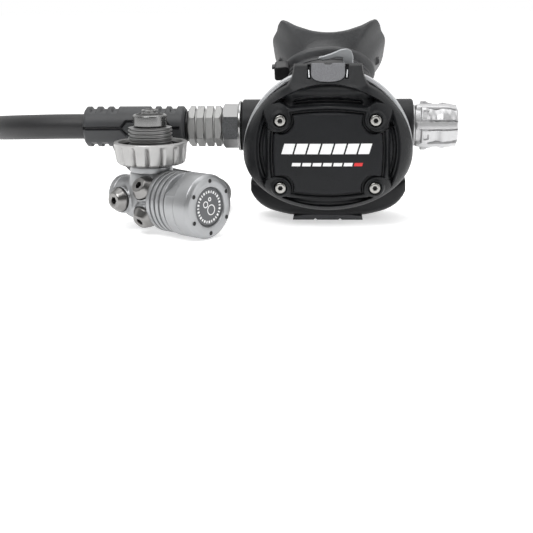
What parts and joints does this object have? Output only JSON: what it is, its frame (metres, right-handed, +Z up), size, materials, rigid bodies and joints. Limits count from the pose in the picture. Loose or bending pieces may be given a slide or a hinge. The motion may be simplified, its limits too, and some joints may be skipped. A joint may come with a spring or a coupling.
{
  "type": "scuba regulator set",
  "caption": "Scuba regulator set: upright DIN first stage with handwheel and port plugs, low-pressure hose with ribbed sleeve, and demand second stage with purge button and mouthpiece.",
  "frame": {"origin": "centre of the set's own footprint box, without the hose, on the surface it stands on", "axes": "+X from the first stage to the second stage's adjusting knob, +Y from the cover to the mouthpiece, +Z up"},
  "size_m": [0.2715, 0.3026, 0.1048],
  "materials": {
    "pearl_metal": "pearl satin chrome on brass",
    "cap_disc": "matte",
    "diaphragm_rubber": "matte",
    "brass": "machined",
    "spring_steel": "stainless",
    "polished_chrome": "polished",
    "handwheel": "satin anodised",
    "satin_nickel": "satin",
    "hose_rubber": "matte",
    "protector_rubber": "matte",
    "ferrule_black": "matte",
    "poppet_plastic": "matte",
    "housing_black": "fine grain",
    "cover_black": "fine grain",
    "button_black": "fine grain",
    "ring_silver": "satin",
    "tab_grey": "coarse grain",
    "lever_silver": "silver paint",
    "knob_silver": "bright satin",
    "screw_steel": "polished",
    "plate_grey": "matte",
    "silicone_clear": "matte silicone",
    "silicone_grey": "matte silicone"
  },
  "bodies": {
    "set": {"first_stage_body": "pearl_metal", "environmental_cap": "pearl_metal", "cap_disc": "cap_disc", "main_diaphragm": "diaphragm_rubber", "din_o_ring": "diaphragm_rubber", "adjusting_screw": "brass", "din_filter": "brass", "orifice": "brass", "balance_chamber": "brass", "main_spring": "spring_steel", "seat_poppet_spring": "spring_steel", "poppet_spring": "spring_steel", "valve_barrel": "spring_steel", "balance_plug": "polished_chrome", "din_connector": "polished_chrome", "front_plug_upper": "polished_chrome", "front_plug_lower": "polished_chrome", "side_plug_front": "polished_chrome", "side_plug_rear": "polished_chrome", "inlet_nut": "polished_chrome", "port_fitting": "satin_nickel", "port_ferrule": "satin_nickel", "hose": "hose_rubber", "hose_protector": "protector_rubber", "hose_ferrule": "ferrule_black", "knob_collar": "ferrule_black", "mouthpiece_tie": "ferrule_black", "housing": "housing_black", "exhaust_tee": "housing_black", "front_cover": "cover_black", "clamp_ring": "ring_silver", "latch_tab": "tab_grey", "cover_screw_1": "screw_steel", "cover_screw_2": "screw_steel", "cover_screw_3": "screw_steel", "cover_screw_4": "screw_steel", "tee_bottom_plate": "plate_grey", "diaphragm": "silicone_clear", "mouthpiece": "silicone_grey"},
    "handwheel": {"din_handwheel": "handwheel", "din_threaded_stem": "polished_chrome"},
    "swivel": {"swivel_nut": "satin_nickel"},
    "diaphragm_stack": {"diaphragm_plate": "brass", "spring_pad": "brass", "transmitter_pin": "spring_steel"},
    "seat_valve": {"seat_poppet": "brass"},
    "knob": {"adjusting_knob": "knob_silver", "adjusting_stem": "spring_steel"},
    "purge": {"purge_button": "button_black", "purge_spring": "spring_steel"},
    "diaphragm_centre": {"diaphragm_disc": "spring_steel"},
    "lever": {"demand_lever": "spring_steel"},
    "valve": {"poppet": "poppet_plastic", "poppet_seat": "diaphragm_rubber"},
    "venturi": {"venturi_lever": "lever_silver"},
    "exhaust": {"exhaust_valve": "silicone_clear"}
  },
  "joints": [
    {"name": "handwheel_turn", "type": "hinge", "parent": "set", "child": "handwheel", "pos_m": [-0.0597, -0.02964, 0.03993], "axis": [0, 0, 1], "continuous": true},
    {"name": "swivel_turn", "type": "hinge", "parent": "set", "child": "swivel", "pos_m": [-0.0337, 0.00086, 0.0503], "axis": [1, 0, 0], "continuous": true},
    {"name": "diaphragm_stroke", "type": "slide", "parent": "set", "child": "diaphragm_stack", "axis": [-0.788, 0.6157, 0], "range_m": [0, 0.0005], "stiffness_N_per_m": 2000},
    {"name": "seat_valve_stroke", "type": "slide", "parent": "set", "child": "seat_valve", "axis": [-0.788, 0.6157, 0], "range_m": [0, 0.0005]},
    {"name": "knob_turn", "type": "hinge", "parent": "set", "child": "knob", "pos_m": [0.0893, 0.00086, 0.0503], "axis": [1, 0, 0], "range_deg": [-540, 540]},
    {"name": "purge_press", "type": "slide", "parent": "set", "child": "purge", "axis": [0, 1, 0], "range_m": [0, 0.0025], "stiffness_N_per_m": 900, "springref_m": -0.0004},
    {"name": "diaphragm_draw", "type": "slide", "parent": "set", "child": "diaphragm_centre", "axis": [0, 1, 0], "range_m": [0, 0.0025]},
    {"name": "lever_swing", "type": "hinge", "parent": "set", "child": "lever", "pos_m": [0.0478, -0.00974, 0.0503], "axis": [0, 0, -1], "range_deg": [0, 9.5]},
    {"name": "poppet_stroke", "type": "slide", "parent": "set", "child": "valve", "axis": [1, 0, 0], "range_m": [0, 0.0012]},
    {"name": "venturi_turn", "type": "hinge", "parent": "set", "child": "venturi", "pos_m": [0.0358, -0.00094, 0.0742], "axis": [0, 1, 0], "range_deg": [-20, 20]},
    {"name": "exhaust_lift", "type": "slide", "parent": "set", "child": "exhaust", "axis": [0, 0, -1], "range_m": [0, 0.002], "stiffness_N_per_m": 40, "springref_m": -0.001}
  ],
  "couplings": [
    {"joint": "seat_valve_stroke", "follows": "diaphragm_stroke", "ratio": 1},
    {"joint": "diaphragm_draw", "follows": "purge_press", "ratio": 1},
    {"joint": "lever_swing", "follows": "purge_press", "rad_per_m": 64.103},
    {"joint": "poppet_stroke", "follows": "purge_press", "ratio": 0.45}
  ]
}
